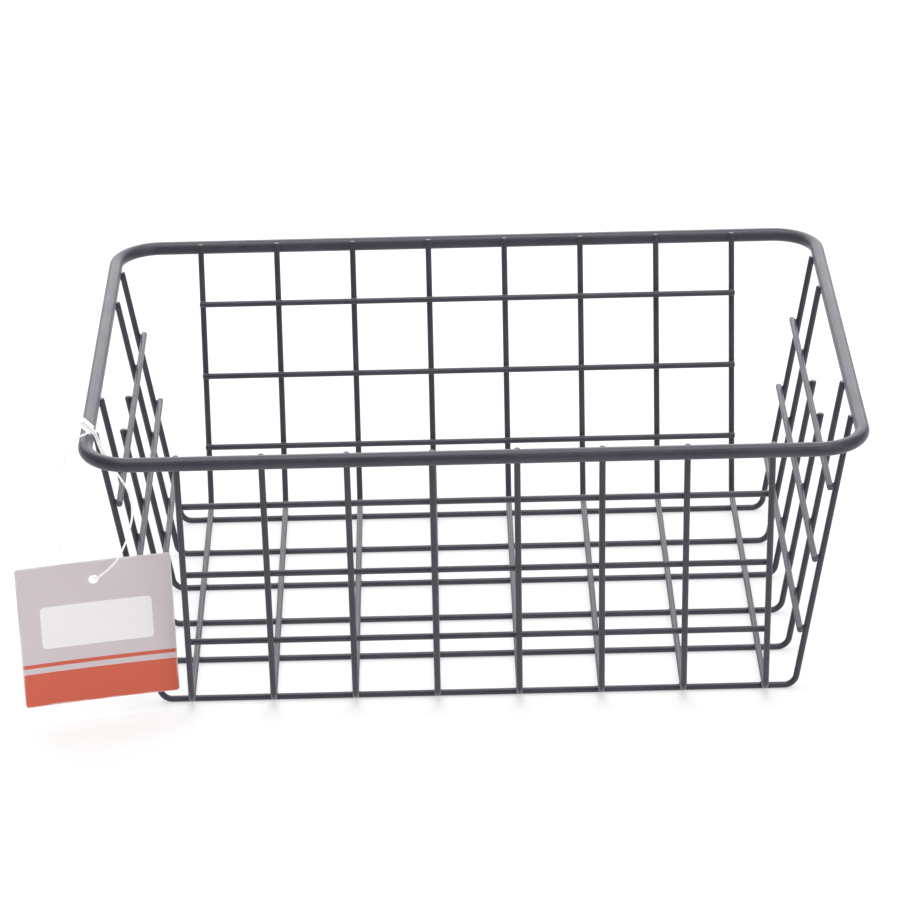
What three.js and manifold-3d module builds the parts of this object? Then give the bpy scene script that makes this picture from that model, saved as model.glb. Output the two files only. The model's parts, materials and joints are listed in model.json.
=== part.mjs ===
// Tapered wire basket with a card swing tag.
// A heavy rim wire carries U-shaped wires that run down one wall, under the floor and up the
// opposite wall. Straight rails are welded inside the walls, and the two middle U-wires of each
// end stop short, which leaves a hand-hold under the rim. The tag hangs on a locked nylon loop.
// Millimetres, +Z up, origin at the bottom centre, +X along the length, the front faces -Y.

import * as THREE from 'three';
import { mergeVertices } from 'three/addons/utils/BufferGeometryUtils.js';
import Module from 'manifold-3d';

// Outer size over the rim, and the floor between the corners of the wall bends
const LENGTH = 244;
const WIDTH = 178;
const HEIGHT = 97;
const FLOOR_LENGTH = 202.4;
const FLOOR_WIDTH = 142;

// Wires: the rim's set is how far the welds press the uprights into it
const RIM_WIRE = 4.5;
const RIM_CORNER = 14.5;
const GRID_WIRE = 2;
const BEND_RADIUS = 4;
const WELD_GAP = 0.15;
const RIM_SET = 0.65;
const FRONT_TIP_DROP = 0.8;
const BACK_TIP_DROP = 0.2;
const LONG_TIP_DROP = 1.5;

// Grid: counts, and the distance from the floor corner or the rim's bend to the first wire
const CROSS_WIRES = 8;
const CROSS_INSET = 9.85;
const LONG_WIRES = 6;
const LONG_INSET = 6.6;
const SHORT_WIRES = 2;
const SHORT_RISE = 1;

// Rails: lowest one above the base, highest one below the top, overhang past the last upright
const RAIL_NAMES = ['lower', 'middle', 'upper'];
const SIDE_RAIL_LOW = 25.5;
const SIDE_RAIL_DROP = 20.5;
const END_RAIL_LOW = 21.6;
const END_RAIL_DROP = 25.4;
const END_RAIL_OVERHANG = 1;

// Swing tag: a square card on a loop in front of the first left upright
const TAG_WIDTH = 49;
const TAG_HEIGHT = 49;
const TAG_THICKNESS = 0.5;
const TAG_CORNER = 1;
const TAG_HOLE = 3.2;
const TAG_HOLE_DROP = 6.5;
const TAG_TURN = THREE.MathUtils.degToRad(10.5);
const TAG_TILT = THREE.MathUtils.degToRad(0.7);
const TAG_DROP = 46;
const TAG_FORWARD = 3.5;
const TAG_OUTWARD = 0.2;
const LOOP_SETBACK = 4.6;
const LOOP_CORD = 0.65;
const LOOP_NECK = 1.2;
const NECK_POINTS = 4;
const NECK_GAP = 0.5;

// Lock of the loop: a small moulded head that lies across the rim, with a slim socket
const LOCK_HEAD = 4.6;
const LOCK_WIDTH = 2.9;
const LOCK_THICKNESS = 2.2;
const LOCK_SOCKET = 1.4;
const LOCK_SOCKET_WIDTH = 1.3;
const LOCK_BEVEL = 0.3;
const LOCK_TURN = THREE.MathUtils.degToRad(45);
const LOCK_SLIDE = 3.3;
const LOCK_SETBACK = 1.1;
const LOCK_ENTRY = 1.3;
const LOCK_GAP = 0.3;

// Facets
const GRID_SIDES = 8;
const RIM_SIDES = 12;
const CORD_SIDES = 8;
const BEND_STEPS = 5;
const CORNER_STEPS = 8;
const LOOP_STEPS = 58;
const NECK_STEPS = 5;
const HOLE_POINTS = 16;

// Route of the loop from the lock's socket through the tag's hole and over the rim to the front
// of the lock's head, as offsets from the rim's axis where the loop hangs
const LOOP_INNER_STRAND = [
  [3.35, 1.1, 0.4],
  [4.2, 0.9, -2.5],
  [5.4, 0.6, -5.2],
  [9, -0.3, -11.1],
  [12.3, -1.3, -17.2],
  [13.1, -2.3, -23.4],
  [11.9, -3.4, -29.4],
  [9.7, -4.6, -35],
  [7.05, -5.5, -39.2],
  [4, -6, -42.1],
  [1.6, -5.95, -44],
  [0.7, -5.45, -44.7],
  [0.1, -4.6, -45.05],
];
const LOOP_OUTER_STRAND = [
  [-0.5, -2.4, -45.05],
  [-1.3, -1.55, -44.75],
  [-2.8, -1.1, -44],
  [-6.7, -0.7, -41.2],
  [-10, -0.4, -37.4],
  [-11.9, -0.1, -32.6],
  [-12.6, 0, -26.8],
  [-12.2, 0, -20.8],
  [-10.6, 0, -14.8],
  [-8.7, -0.2, -9.9],
  [-7.4, -0.6, -6.6],
  [-6, -1.1, -3.6],
  [-4.6, -1.8, -1],
  [-3.4, -2.5, 1.1],
  [-2.2, -3, 2.7],
  [-1, -3.1, 3.5],
  [0.1, -2.7, 3.8],
  [0.8, -1.8, 3.95],
];

// Derived places
const rimX = (LENGTH - RIM_WIRE) / 2;
const rimY = (WIDTH - RIM_WIRE) / 2;
const rimZ = HEIGHT - RIM_WIRE / 2;
const frontTip = HEIGHT - FRONT_TIP_DROP;
const backTip = HEIGHT - BACK_TIP_DROP;
const longTip = HEIGHT - LONG_TIP_DROP;
const crossing = GRID_WIRE + WELD_GAP;
const longZ = GRID_WIRE / 2;
const crossZ = longZ + crossing;
const rimSeat = (RIM_WIRE + GRID_WIRE) / 2 - RIM_SET;
const crossReach = Math.min(FLOOR_LENGTH / 2, rimX - RIM_CORNER) - CROSS_INSET;
const longReach = Math.min(FLOOR_WIDTH / 2, rimY - RIM_CORNER) - LONG_INSET;
const sideWall = wallLine(FLOOR_WIDTH / 2, crossZ, rimY);
const endWall = wallLine(FLOOR_LENGTH / 2, longZ, rimX);
const endRailTop = HEIGHT - END_RAIL_DROP;

// Finishes
const wireFinish = new THREE.MeshStandardMaterial({ color: 0x37343b, roughness: 0.5, metalness: 0.35 });
const cardFinish = new THREE.MeshStandardMaterial({ color: 0xcfc7ca, roughness: 0.7, metalness: 0 });
const nylonFinish = new THREE.MeshStandardMaterial({ color: 0xf1f0ee, roughness: 0.35, metalness: 0 });

// A wall's line from its floor corner up to its seat in the rim's inner side, as a slope from upright
function wallLine(floorEdge, floorZ, rimEdge) {
  const out = rimEdge - floorEdge;
  const up = rimZ - floorZ;
  const slope = Math.atan2(out, up) - Math.asin(rimSeat / Math.hypot(out, up));
  return { floorEdge, floorZ, slope };
}

// Distance of a wall's line from the middle plane at a height
function wallAt(wall, height) {
  return wall.floorEdge + (height - wall.floorZ) * Math.tan(wall.slope);
}

// A regular section whose flats face both axes, with the diameter across its flats
function wireSection(diameter, sides) {
  const radius = diameter / 2 / Math.cos(Math.PI / sides);
  const points = [];
  for (let i = 0; i < sides; i += 1) {
    const angle = ((2 * i + 1) * Math.PI) / sides;
    points.push(new THREE.Vector2(radius * Math.cos(angle), radius * Math.sin(angle)));
  }
  return new THREE.Shape(points);
}

// A bent wire's centre line: a section stands at each station, square to the line
class BentLine extends THREE.Curve {
  constructor(stations) {
    super();
    this.stations = stations;
    this.steps = stations.length - 1;
  }

  getUtoTmapping(u) {
    return u;
  }

  getPoint(t, target = new THREE.Vector3()) {
    const index = Math.min(Math.floor(t * this.steps), this.steps - 1);
    const share = t * this.steps - index;
    return target.lerpVectors(this.stations[index].point, this.stations[index + 1].point, share);
  }

  getTangent(t, target = new THREE.Vector3()) {
    return target.copy(this.stations[Math.round(t * this.steps)].tangent);
  }
}

// Stations of a line through corner points, with an arc at each inner corner
function bentStations(corners, radius, arcSteps) {
  const stations = [];
  for (let i = 0; i < corners.length; i += 1) {
    const inward = i > 0 ? corners[i].clone().sub(corners[i - 1]).normalize() : null;
    const onward = i < corners.length - 1 ? corners[i + 1].clone().sub(corners[i]).normalize() : null;
    if (!inward || !onward) {
      stations.push({ point: corners[i].clone(), tangent: (inward || onward).clone() });
      continue;
    }
    const turn = inward.angleTo(onward);
    const start = corners[i].clone().addScaledVector(inward, -radius * Math.tan(turn / 2));
    const side = onward.clone().addScaledVector(inward, -inward.dot(onward)).normalize();
    for (let k = 0; k <= arcSteps; k += 1) {
      const angle = (turn * k) / arcSteps;
      const point = start.clone().addScaledVector(inward, radius * Math.sin(angle));
      point.addScaledVector(side, radius * (1 - Math.cos(angle)));
      const tangent = inward.clone().multiplyScalar(Math.cos(angle)).addScaledVector(side, Math.sin(angle));
      stations.push({ point, tangent });
    }
  }
  return stations;
}

// A wire swept along corner points with round bends
function bentWire(corners, diameter, sides, radius, arcSteps) {
  const line = new BentLine(bentStations(corners, radius, arcSteps));
  const sweep = { steps: line.steps, extrudePath: line };
  return new THREE.ExtrudeGeometry(wireSection(diameter, sides), sweep);
}

// A straight wire along Z, centred on the origin
function straightWire(length) {
  const geometry = new THREE.ExtrudeGeometry(wireSection(GRID_WIRE, GRID_SIDES), {
    depth: length,
    bevelEnabled: false,
  });
  return geometry.translate(0, 0, -length / 2);
}

const wasm = await Module();
wasm.setup();

// A closed geometry as a solid that can be joined
function solidOf(geometry) {
  const bare = geometry.clone();
  bare.deleteAttribute('normal');
  bare.deleteAttribute('uv');
  const merged = mergeVertices(bare, 1e-4);
  return new wasm.Manifold(new wasm.Mesh({
    numProp: 3,
    vertProperties: new Float32Array(merged.attributes.position.array),
    triVerts: new Uint32Array(merged.index.array),
  }));
}

// The surface of a joined solid
function geometryOf(solid) {
  const mesh = solid.getMesh();
  const geometry = new THREE.BufferGeometry();
  geometry.setAttribute('position', new THREE.BufferAttribute(mesh.vertProperties, 3));
  geometry.setIndex(new THREE.BufferAttribute(mesh.triVerts, 1));
  geometry.computeVertexNormals();
  return geometry;
}

const basket = new THREE.Group();

function addPart(parent, name, geometry, finish) {
  const mesh = new THREE.Mesh(geometry, finish);
  mesh.name = name;
  parent.add(mesh);
  return mesh;
}

// Rim: two bent halves butted into one loop, whose joints are in the middle of the ends
function rimHalf(front, diameter) {
  const y = front ? -rimY : rimY;
  const x = front ? rimX : -rimX;
  const corners = [
    new THREE.Vector3(-x, 0, rimZ),
    new THREE.Vector3(-x, y, rimZ),
    new THREE.Vector3(x, y, rimZ),
    new THREE.Vector3(x, 0, rimZ),
  ];
  return solidOf(bentWire(corners, diameter, RIM_SIDES, RIM_CORNER, CORNER_STEPS));
}

function rimLoop(diameter) {
  return rimHalf(true, diameter).add(rimHalf(false, diameter));
}

function buildRim() {
  addPart(basket, 'rim_wire', geometryOf(rimLoop(RIM_WIRE)), wireFinish);
}

// U-wires: the place of a leg's top follows the wall's line up to its own height, and the rim with
// its weld gap is cut out of the wire where they meet
const rimSpace = rimLoop(RIM_WIRE + 2 * WELD_GAP);

function uWire(corners) {
  const wire = bentWire(corners, GRID_WIRE, GRID_SIDES, BEND_RADIUS, BEND_STEPS);
  return geometryOf(solidOf(wire).subtract(rimSpace));
}

function crossCorners(x) {
  return [
    new THREE.Vector3(x, -wallAt(sideWall, frontTip), frontTip),
    new THREE.Vector3(x, -sideWall.floorEdge, crossZ),
    new THREE.Vector3(x, sideWall.floorEdge, crossZ),
    new THREE.Vector3(x, wallAt(sideWall, backTip), backTip),
  ];
}

function longCorners(y, topZ) {
  const top = wallAt(endWall, topZ);
  return [
    new THREE.Vector3(-top, y, topZ),
    new THREE.Vector3(-endWall.floorEdge, y, longZ),
    new THREE.Vector3(endWall.floorEdge, y, longZ),
    new THREE.Vector3(top, y, topZ),
  ];
}

function buildCrossWires() {
  const pitch = (2 * crossReach) / (CROSS_WIRES - 1);
  for (let i = 0; i < CROSS_WIRES; i += 1) {
    const corners = crossCorners(-crossReach + i * pitch);
    addPart(basket, `cross_wire_${i + 1}`, uWire(corners), wireFinish);
  }
}

function buildLongWires() {
  const pitch = (2 * longReach) / (LONG_WIRES - 1);
  const middle = (LONG_WIRES - 1) / 2;
  for (let i = 0; i < LONG_WIRES; i += 1) {
    const short = Math.abs(i - middle) < SHORT_WIRES / 2;
    const corners = longCorners(-longReach + i * pitch, short ? endRailTop + SHORT_RISE : longTip);
    addPart(basket, `long_wire_${i + 1}`, uWire(corners), wireFinish);
  }
}

// Rails: each lies on the inside of its wall's uprights, turned with the wall's slope
function railHeights(low, high) {
  return RAIL_NAMES.map((name, i) => low + ((high - low) * i) / (RAIL_NAMES.length - 1));
}

function railPlace(wall, height) {
  return wallAt(wall, height) - crossing / Math.cos(wall.slope);
}

function buildSideRails() {
  const length = 2 * crossReach + GRID_WIRE;
  railHeights(SIDE_RAIL_LOW, HEIGHT - SIDE_RAIL_DROP).forEach((height, i) => {
    for (const [wallName, sign] of [['front', -1], ['back', 1]]) {
      const geometry = straightWire(length).rotateY(Math.PI / 2).rotateX(-sign * sideWall.slope);
      const rail = addPart(basket, `${wallName}_rail_${RAIL_NAMES[i]}`, geometry, wireFinish);
      rail.position.set(0, sign * railPlace(sideWall, height), height);
    }
  });
}

function buildEndRails() {
  const length = 2 * (longReach + END_RAIL_OVERHANG) + GRID_WIRE;
  railHeights(END_RAIL_LOW, endRailTop).forEach((height, i) => {
    for (const [wallName, sign] of [['left', -1], ['right', 1]]) {
      const geometry = straightWire(length).rotateX(Math.PI / 2).rotateY(sign * endWall.slope);
      const rail = addPart(basket, `${wallName}_rail_${RAIL_NAMES[i]}`, geometry, wireFinish);
      rail.position.set(sign * railPlace(endWall, height), 0, height);
    }
  });
}

// Tag set: the group's origin is on the rim's axis where the loop hangs
const hang = new THREE.Group();
hang.position.set(-rimX, -longReach - LOOP_SETBACK, rimZ);
basket.add(hang);

const holeCentre = new THREE.Vector3(-TAG_OUTWARD, -TAG_FORWARD, -TAG_DROP);

// The card's outline has its hole at the origin, and is extruded evenly to both faces
function buildTag() {
  const left = -TAG_WIDTH / 2;
  const right = TAG_WIDTH / 2;
  const top = TAG_HOLE_DROP;
  const bottom = TAG_HOLE_DROP - TAG_HEIGHT;
  const outline = new THREE.Shape();
  outline.moveTo(left + TAG_CORNER, bottom);
  outline.lineTo(right - TAG_CORNER, bottom);
  outline.absarc(right - TAG_CORNER, bottom + TAG_CORNER, TAG_CORNER, -Math.PI / 2, 0);
  outline.absarc(right - TAG_CORNER, top - TAG_CORNER, TAG_CORNER, 0, Math.PI / 2);
  outline.absarc(left + TAG_CORNER, top - TAG_CORNER, TAG_CORNER, Math.PI / 2, Math.PI);
  outline.absarc(left + TAG_CORNER, bottom + TAG_CORNER, TAG_CORNER, Math.PI, 1.5 * Math.PI);
  const hole = new THREE.Path();
  for (let i = 0; i < HOLE_POINTS; i += 1) {
    const angle = (-2 * Math.PI * i) / HOLE_POINTS;
    const x = (TAG_HOLE / 2) * Math.cos(angle);
    const y = (TAG_HOLE / 2) * Math.sin(angle);
    if (i === 0) hole.moveTo(x, y);
    else hole.lineTo(x, y);
  }
  hole.closePath();
  outline.holes.push(hole);
  const geometry = new THREE.ExtrudeGeometry(outline, {
    depth: TAG_THICKNESS,
    bevelEnabled: false,
    curveSegments: 4,
  });
  geometry.translate(0, 0, -TAG_THICKNESS / 2).rotateZ(TAG_TILT).rotateX(Math.PI / 2);
  const tag = addPart(hang, 'swing_tag', geometry, cardFinish);
  tag.position.copy(holeCentre);
  tag.rotation.z = TAG_TURN;
}

// The head's middle lies along a tangent of the rim's inner side, slid up past the point that touches
const lockAlong = new THREE.Vector3(Math.cos(LOCK_TURN), 0, -Math.sin(LOCK_TURN));
const lockAway = new THREE.Vector3(Math.sin(LOCK_TURN), 0, Math.cos(LOCK_TURN));
const lockCentre = new THREE.Vector3(0, LOCK_SETBACK, 0)
  .addScaledVector(lockAway, RIM_WIRE / 2 + LOCK_GAP + LOCK_THICKNESS / 2)
  .addScaledVector(lockAlong, -LOCK_SLIDE);

// The socket is flush with the head's underside
const socketDrop = (LOCK_THICKNESS - LOCK_SOCKET_WIDTH) / 2;

// A moulded block with round edges, centred on the origin
function mouldedBlock(length, width, thickness) {
  const halfLength = length / 2 - LOCK_BEVEL;
  const halfWidth = width / 2 - LOCK_BEVEL;
  const depth = thickness - 2 * LOCK_BEVEL;
  const plan = new THREE.Shape([
    new THREE.Vector2(-halfLength, -halfWidth),
    new THREE.Vector2(halfLength, -halfWidth),
    new THREE.Vector2(halfLength, halfWidth),
    new THREE.Vector2(-halfLength, halfWidth),
  ]);
  const geometry = new THREE.ExtrudeGeometry(plan, {
    depth,
    bevelThickness: LOCK_BEVEL,
    bevelSize: LOCK_BEVEL,
    bevelSegments: 2,
  });
  return geometry.translate(0, 0, -depth / 2);
}

function buildLock() {
  const head = mouldedBlock(LOCK_HEAD, LOCK_WIDTH, LOCK_THICKNESS);
  const socket = mouldedBlock(2 * LOCK_SOCKET, LOCK_SOCKET_WIDTH, LOCK_SOCKET_WIDTH);
  socket.translate(LOCK_HEAD / 2, 0, -socketDrop);
  const lock = addPart(hang, 'tag_loop_lock', geometryOf(solidOf(head).add(solidOf(socket))), nylonFinish);
  lock.position.copy(lockCentre);
  lock.rotation.y = LOCK_TURN;
}

// A tube along a smooth line through points
function cordAlong(route, diameter, steps) {
  return solidOf(new THREE.ExtrudeGeometry(wireSection(diameter, CORD_SIDES), {
    steps,
    extrudePath: new THREE.CatmullRomCurve3(route),
  }));
}

// The loop leaves the lock's socket with a stiff neck, passes the hole from the front to the back,
// bears on the hole's upper edge, and comes back over the rim to the front of the lock's head
function buildLoop() {
  const start = lockCentre.clone()
    .addScaledVector(lockAlong, LOCK_HEAD / 2 + LOCK_SOCKET + NECK_GAP)
    .addScaledVector(lockAway, -socketDrop);
  const bearing = holeCentre.clone();
  bearing.z += (TAG_HOLE - LOOP_CORD) / 2 - LOCK_GAP;
  const end = lockCentre.clone().addScaledVector(lockAlong, LOCK_ENTRY);
  end.y -= LOCK_WIDTH / 2 + LOCK_GAP;
  const route = [
    start,
    ...LOOP_INNER_STRAND.map((p) => new THREE.Vector3(...p)),
    bearing,
    ...LOOP_OUTER_STRAND.map((p) => new THREE.Vector3(...p)),
    end,
  ];
  const neck = cordAlong(route.slice(0, NECK_POINTS), LOOP_NECK, NECK_STEPS);
  const loop = cordAlong(route, LOOP_CORD, LOOP_STEPS).add(neck);
  addPart(hang, 'tag_loop', geometryOf(loop), nylonFinish);
}

buildRim();
buildCrossWires();
buildLongWires();
buildSideRails();
buildEndRails();
buildTag();
buildLock();
buildLoop();

export default basket;
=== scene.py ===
"""Finish of a tapered wire basket with a card swing tag.

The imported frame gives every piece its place. Round coated wires with rounded tips stand for the
faceted ones, weld beads join them where they cross, and the tag gets its printed card, its nylon
loop and the loop's lock. Metres, +Z up, origin at the bottom centre, the front faces -Y.
"""

import json
import math
import random

import bmesh
import bpy
from bpy.props import FloatProperty, FloatVectorProperty, IntProperty, PointerProperty
from bpy.types import Operator, Panel, PropertyGroup
from mathutils import Matrix, Vector


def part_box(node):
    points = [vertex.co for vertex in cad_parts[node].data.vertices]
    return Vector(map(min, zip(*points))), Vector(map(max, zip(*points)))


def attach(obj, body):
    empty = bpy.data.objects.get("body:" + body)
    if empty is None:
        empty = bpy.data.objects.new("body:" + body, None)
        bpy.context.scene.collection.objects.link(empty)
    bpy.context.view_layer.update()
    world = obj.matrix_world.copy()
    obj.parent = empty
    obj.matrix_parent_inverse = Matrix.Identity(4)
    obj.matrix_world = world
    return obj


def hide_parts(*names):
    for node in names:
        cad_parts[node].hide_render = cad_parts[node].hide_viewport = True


bl_info = {
    "name": "Wire basket with a swing tag",
    "version": (1, 0, 0),
    "blender": (4, 5, 0),
    "location": "View3D > Sidebar > Basket",
    "description": "Dresses a packed wire basket with coated wires, welds and a card tag on a loop",
    "category": "Object",
}

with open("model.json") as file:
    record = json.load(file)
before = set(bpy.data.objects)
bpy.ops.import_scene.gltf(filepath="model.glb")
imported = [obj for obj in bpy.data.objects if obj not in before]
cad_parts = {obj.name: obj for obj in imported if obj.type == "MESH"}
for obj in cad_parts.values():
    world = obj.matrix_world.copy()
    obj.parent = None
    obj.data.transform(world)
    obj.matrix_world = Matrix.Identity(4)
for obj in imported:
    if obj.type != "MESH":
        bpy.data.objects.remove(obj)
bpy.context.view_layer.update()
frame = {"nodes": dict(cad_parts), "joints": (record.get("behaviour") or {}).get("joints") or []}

X = Vector((1, 0, 0))
Y = Vector((0, 1, 0))
Z = Vector((0, 0, 1))

# Names of the frame's wires
CROSS_WIRES = sorted(name for name in frame["nodes"] if name.startswith("cross_wire_"))
LONG_WIRES = sorted(name for name in frame["nodes"] if name.startswith("long_wire_"))
RAILS = sorted(name for name in frame["nodes"] if "_rail_" in name)

# Wire sizes and places, read from the frame
RIM_LOW, RIM_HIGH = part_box("rim_wire")
RIM_RADIUS = (RIM_HIGH.z - RIM_LOW.z) / 2
RIM_X = RIM_HIGH.x - RIM_RADIUS
RIM_Y = RIM_HIGH.y - RIM_RADIUS
RIM_Z = RIM_HIGH.z - RIM_RADIUS
CROSS_LOW, CROSS_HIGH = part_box(CROSS_WIRES[0])
WIRE_RADIUS = (CROSS_HIGH.x - CROSS_LOW.x) / 2
CROSS_Z = CROSS_LOW.z + WIRE_RADIUS
LONG_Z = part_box(LONG_WIRES[0])[0].z + WIRE_RADIUS
CROSSING = CROSS_Z - LONG_Z
WELD_GAP = CROSSING - 2 * WIRE_RADIUS

# The tag's hinge is on the rim's axis where the loop hangs
HANG = Vector(frame["joints"][0]["pos_m"])

# Route of the loop, as offsets from where it hangs: from the lock's socket to the card's hole
LOOP_INNER_STRAND = [
    (0.00335, 0.0011, 0.0004),
    (0.0042, 0.0009, -0.0025),
    (0.0054, 0.0006, -0.0052),
    (0.009, -0.0003, -0.0111),
    (0.0123, -0.0013, -0.0172),
    (0.0131, -0.0023, -0.0234),
    (0.0119, -0.0034, -0.0294),
    (0.0097, -0.0046, -0.035),
    (0.00705, -0.0055, -0.0392),
    (0.004, -0.006, -0.0421),
    (0.0016, -0.00595, -0.044),
    (0.0007, -0.00545, -0.0447),
    (0.0001, -0.0046, -0.04505),
]
# and on from the hole over the rim to the front of the lock's head
LOOP_OUTER_STRAND = [
    (-0.0005, -0.0024, -0.04505),
    (-0.0013, -0.00155, -0.04475),
    (-0.0028, -0.0011, -0.044),
    (-0.0067, -0.0007, -0.0412),
    (-0.01, -0.0004, -0.0374),
    (-0.0119, -0.0001, -0.0326),
    (-0.0126, 0.0, -0.0268),
    (-0.0122, 0.0, -0.0208),
    (-0.0106, 0.0, -0.0148),
    (-0.0087, -0.0002, -0.0099),
    (-0.0074, -0.0006, -0.0066),
    (-0.006, -0.0011, -0.0036),
    (-0.0046, -0.0018, -0.001),
    (-0.0034, -0.0025, 0.0011),
    (-0.0022, -0.003, 0.0027),
    (-0.001, -0.0031, 0.0035),
    (0.0001, -0.0027, 0.0038),
    (0.0008, -0.0018, 0.00395),
]

# Mesh attribute that marks the cut ends, where the coat is thin and a paler colour also paints the highlight
# on their flat tops
CUT_END_MARK = "thin_coat"

# The card's front has its map from 0 to 1, and its back and edges lie further along
FRONT_LIMIT = 1.5
BACK_SHIFT = 2.0

# The card's print in shares of its width and height: the panel, then each band's middle and half height
PANEL_CENTRE = (0.5, 0.56)
PANEL_HALF = (0.36, 0.15)
PANEL_CORNER = 0.03
BANDS = ((0.12, 0.12), (0.295, 0.014))

# Sizes of the patterns in the finishes, in metres
COAT_CLOUD = 0.012
COAT_SPECK = 0.0011
CARD_FIBRE = 0.0004
CARD_CLOUD = 0.009
NYLON_CLOUD = 0.004

# Colours that only tint a finish, and the white of the studio
SPECK_COLOUR = (0.16, 0.15, 0.16, 1.0)
SHEEN_TINT = (0.86, 0.82, 1.0, 1.0)
CLEAR_NYLON = (0.99, 0.99, 0.99, 1.0)
WHITE = (1.0, 1.0, 1.0, 1.0)

# How strongly specks show in the coat, and bare paper at the card's scuffed edges
SPECK_SHARE = 0.1
SCUFF_SHARE = 0.45

# How much the scuffed edge widens with the card's cloud, and its soft limit, in shares of the card
SCUFF_REACH = 0.035
SCUFF_LIMIT = 0.008

# Roughness of the card's bare board, how much smoother its print is, and roughness of the nylon
BOARD_ROUGHNESS = 0.62
PRINT_GLOSS = 0.16
NYLON_ROUGHNESS = 0.3

# Steps of the rounded shapes
TIP_STEPS = 4
LOCK_STEPS = 4
CARD_CORNER_STEPS = 6
CARD_EDGE_STEPS = 2
CARD_STRIPS = 12
HOLE_SIDES = 40
FLOOR_SIDES = 96

# Rounding of the card's cut edges, as a share of its thickness
CARD_EDGE_SHARE = 0.16

# Edges that turn more than this are rounded
SHARP = math.radians(60)

# Vertices this near are made one, with a longer reach where the rim's two ends meet
TOUCHING = 1e-7
RIM_TOUCHING = 1e-5

# Each weld bead is between these shares of its full size
BEAD_SIZES = (0.94, 1.06)

# Each soft light: its name, the setting of its power, its place and its size
LAMPS = (
    ("top_light", "top_power", (0.0, 0.0, 1.5), (1.2, 1.1)),
    ("back_light", "back_power", (0.0, 1.7, 0.95), (3.0, 1.5)),
    ("front_light", "front_power", (0.9, -1.3, 1.1), (1.4, 1.4)),
)


class WireSettings(PropertyGroup):
    """Sizes of the wires and welds that the frame's boxes don't give."""

    floor_length: FloatProperty(
        name="Floor length",
        description="Floor between the corners of the two end walls",
        default=0.2024,
        unit="LENGTH",
    )
    floor_width: FloatProperty(
        name="Floor width",
        description="Floor between the corners of the front and back walls",
        default=0.142,
        unit="LENGTH",
    )
    rim_corner: FloatProperty(
        name="Rim corner",
        description="Radius of the rim's corners at the wire's axis",
        default=0.0145,
        unit="LENGTH",
    )
    bend_radius: FloatProperty(
        name="Bend radius",
        description="Radius of the U-wires' bends at the wire's axis",
        default=0.004,
        unit="LENGTH",
    )
    rim_set: FloatProperty(
        name="Rim set",
        description="How far the welds press the uprights into the rim",
        default=0.00065,
        unit="LENGTH",
    )
    front_drop: FloatProperty(
        name="Front tip drop",
        description="How much lower the cross wires end at the front than at the back",
        default=0.0006,
        unit="LENGTH",
    )
    tip_round: FloatProperty(
        name="Tip rounding",
        description="Rounding of the cut ends under the coat",
        default=0.0004,
        unit="LENGTH",
    )
    weld_radius: FloatProperty(
        name="Weld radius",
        description="Half the width of a weld between two crossing wires",
        default=0.00115,
        unit="LENGTH",
    )
    weld_depth: FloatProperty(
        name="Weld depth",
        description="Half the thickness of a weld between two crossing wires",
        default=0.0006,
        unit="LENGTH",
    )
    seat_height: FloatProperty(
        name="Seat weld height",
        description="Half the height of a weld between an upright and the rim",
        default=0.0015,
        unit="LENGTH",
    )
    seat_width: FloatProperty(
        name="Seat weld width",
        description="Half the width of a weld between an upright and the rim",
        default=0.0012,
        unit="LENGTH",
    )
    seat_drop: FloatProperty(
        name="Seat weld drop",
        description="How far a weld lies below the place where an upright and the rim meet",
        default=0.0011,
        unit="LENGTH",
    )
    wire_sides: IntProperty(
        name="Wire sides",
        description="Faces round a grid wire",
        default=24,
    )
    rim_sides: IntProperty(
        name="Rim sides",
        description="Faces round the rim wire",
        default=36,
    )
    bend_steps: IntProperty(
        name="Bend steps",
        description="Steps in each bend of a wire",
        default=12,
    )


class CoatSettings(PropertyGroup):
    """Powder coat of the wires."""

    colour: FloatVectorProperty(
        name="Coat colour",
        description="Charcoal of the powder coat",
        default=(0.029, 0.0255, 0.042),
        subtype="COLOR",
    )
    thin_colour: FloatVectorProperty(
        name="Thin coat colour",
        description="Lighter charcoal where the coat is thinner",
        default=(0.044, 0.039, 0.058),
        subtype="COLOR",
    )
    # The cut ends' paler colour is partly steel through the thin coat and partly a painted highlight where
    # their flat tops catch the light from above
    tip_steel_and_highlight: FloatVectorProperty(
        name="Cut end colour",
        description="Steel that shows through the thin coat on the cut ends",
        default=(0.085, 0.074, 0.080),
        subtype="COLOR",
    )
    roughness: FloatProperty(
        name="Roughness",
        description="Roughness of the satin coat",
        default=0.4,
        subtype="FACTOR",
    )
    grain_size: FloatProperty(
        name="Grain size",
        description="Width of the coat's orange-peel grain",
        default=0.0006,
        unit="LENGTH",
    )
    grain_depth: FloatProperty(
        name="Grain depth",
        description="Height of the coat's orange-peel grain",
        default=0.00002,
        unit="LENGTH",
    )


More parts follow.
